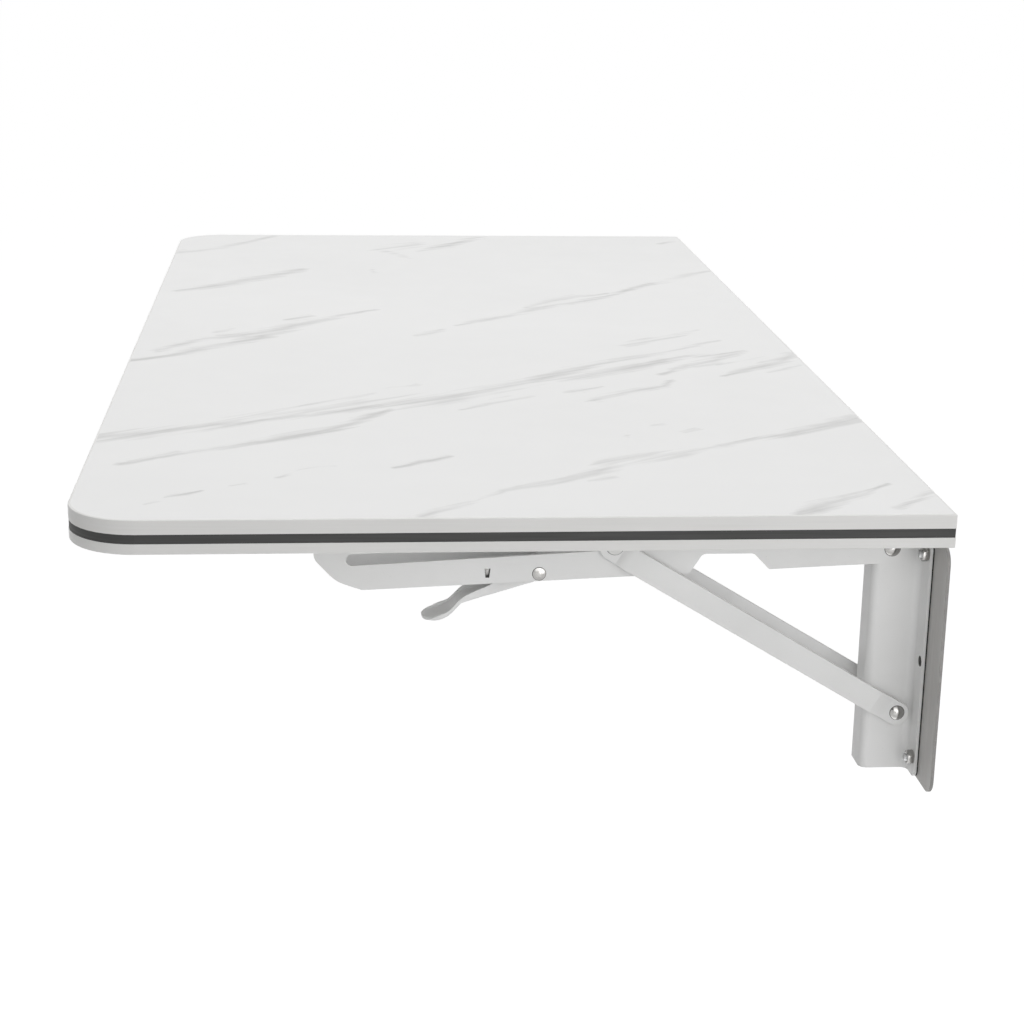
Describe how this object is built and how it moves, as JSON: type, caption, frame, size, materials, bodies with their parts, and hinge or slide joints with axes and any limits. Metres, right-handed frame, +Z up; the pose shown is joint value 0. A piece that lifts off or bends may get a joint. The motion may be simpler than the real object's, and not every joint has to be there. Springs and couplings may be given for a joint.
{
  "type": "wall mounted drop leaf table",
  "caption": "Wall mounted table: a marble-look leaf with a striped edge on folding sheet-steel brackets, held level by sliding braces and released by spoon levers to fold down.",
  "frame": {"origin": "in the wall plane, midway between the brackets, level with the free screw holes of their flanges", "axes": "+X along the wall, +Y into the wall, +Z up"},
  "size_m": [1, 0.501, 0.177],
  "materials": {
    "marble": "satin marble print",
    "white_sheet": "matt",
    "board": "raw chipboard",
    "edge_white": "satin",
    "edge_dark": "satin",
    "white_paint": "powder coat",
    "white_rivet": "powder coat",
    "plate_steel": "brushed",
    "nickel": "polished nickel",
    "zinc": "zinc plated",
    "spring_wire": "drawn wire",
    "pad_rubber": "matt foam",
    "nylon": "moulded"
  },
  "bodies": {
    "wall_frame": {"wall_plate_right": "plate_steel", "wall_pads_right": "pad_rubber", "wall_studs_right": "zinc", "wall_nuts_right": "nickel", "wall_bar_right": "white_paint", "wall_plate_left": "plate_steel", "wall_pads_left": "pad_rubber", "wall_studs_left": "zinc", "wall_nuts_left": "nickel", "wall_bar_left": "white_paint"},
    "leaf": {"arm_left": "white_paint", "arm_right": "white_paint", "arm_screws_left": "zinc", "arm_screws_right": "zinc", "backing_laminate": "white_sheet", "edge_band_lower": "edge_white", "edge_band_stripe": "edge_dark", "edge_band_upper": "edge_white", "hinge_pin_left": "nickel", "hinge_pin_right": "nickel", "lever_pin_left": "nickel", "lever_pin_right": "nickel", "lever_spacer_left": "nylon", "lever_spacer_right": "nylon", "lever_spring_left": "spring_wire", "lever_spring_right": "spring_wire", "marble_laminate": "marble", "tabletop_core": "board"},
    "brace_right": {"brace_bar_outer_right": "white_paint", "brace_bar_inner_right": "white_paint", "foot_pin_right": "nickel", "foot_spacers_right": "nylon", "head_rivets_right": "white_rivet"},
    "slide_pin_right": {"slide_pin_right": "zinc"},
    "lever_right": {"release_lever_right": "white_paint"},
    "brace_left": {"brace_bar_outer_left": "white_paint", "brace_bar_inner_left": "white_paint", "foot_pin_left": "nickel", "foot_spacers_left": "nylon", "head_rivets_left": "white_rivet"},
    "slide_pin_left": {"slide_pin_left": "zinc"},
    "lever_left": {"release_lever_left": "white_paint"}
  },
  "joints": [
    {"name": "table_fold", "type": "hinge", "parent": "wall_frame", "child": "leaf", "pos_m": [0, -0.023, 0.0675], "axis": [1, 0, 0], "range_deg": [0, 90]},
    {"name": "brace_swing_right", "type": "hinge", "parent": "wall_frame", "child": "brace_right", "pos_m": [0.436, -0.0141, -0.0355], "axis": [1, 0, 0], "range_deg": [0, 120.04]},
    {"name": "pin_slide_right", "type": "slide", "parent": "leaf", "child": "slide_pin_right", "axis": [0, -0.9985, -0.0541], "range_m": [0, 0.14218]},
    {"name": "lever_press_right", "type": "hinge", "parent": "leaf", "child": "lever_right", "pos_m": [0.436, -0.2327, 0.0538], "axis": [-1, 0, 0], "range_deg": [0, 21], "stiffness_Nm_per_rad": 0.3, "springref_deg": -17.19, "deforming": ["lever_spring_right"]},
    {"name": "brace_swing_left", "type": "hinge", "parent": "wall_frame", "child": "brace_left", "pos_m": [-0.436, -0.0141, -0.0355], "axis": [1, 0, 0], "range_deg": [0, 120.04]},
    {"name": "pin_slide_left", "type": "slide", "parent": "leaf", "child": "slide_pin_left", "axis": [0, -0.9985, -0.0541], "range_m": [0, 0.14218]},
    {"name": "lever_press_left", "type": "hinge", "parent": "leaf", "child": "lever_left", "pos_m": [-0.436, -0.2327, 0.0538], "axis": [-1, 0, 0], "range_deg": [0, 21], "stiffness_Nm_per_rad": 0.3, "springref_deg": -17.19, "deforming": ["lever_spring_left"]}
  ],
  "couplings": [
    {"joint": "brace_swing_right", "follows": "table_fold", "ratio": 1.3337},
    {"joint": "pin_slide_right", "follows": "table_fold", "m_per_rad": 0.090499},
    {"joint": "brace_swing_left", "follows": "table_fold", "ratio": 1.3337},
    {"joint": "pin_slide_left", "follows": "table_fold", "m_per_rad": 0.090499}
  ]
}
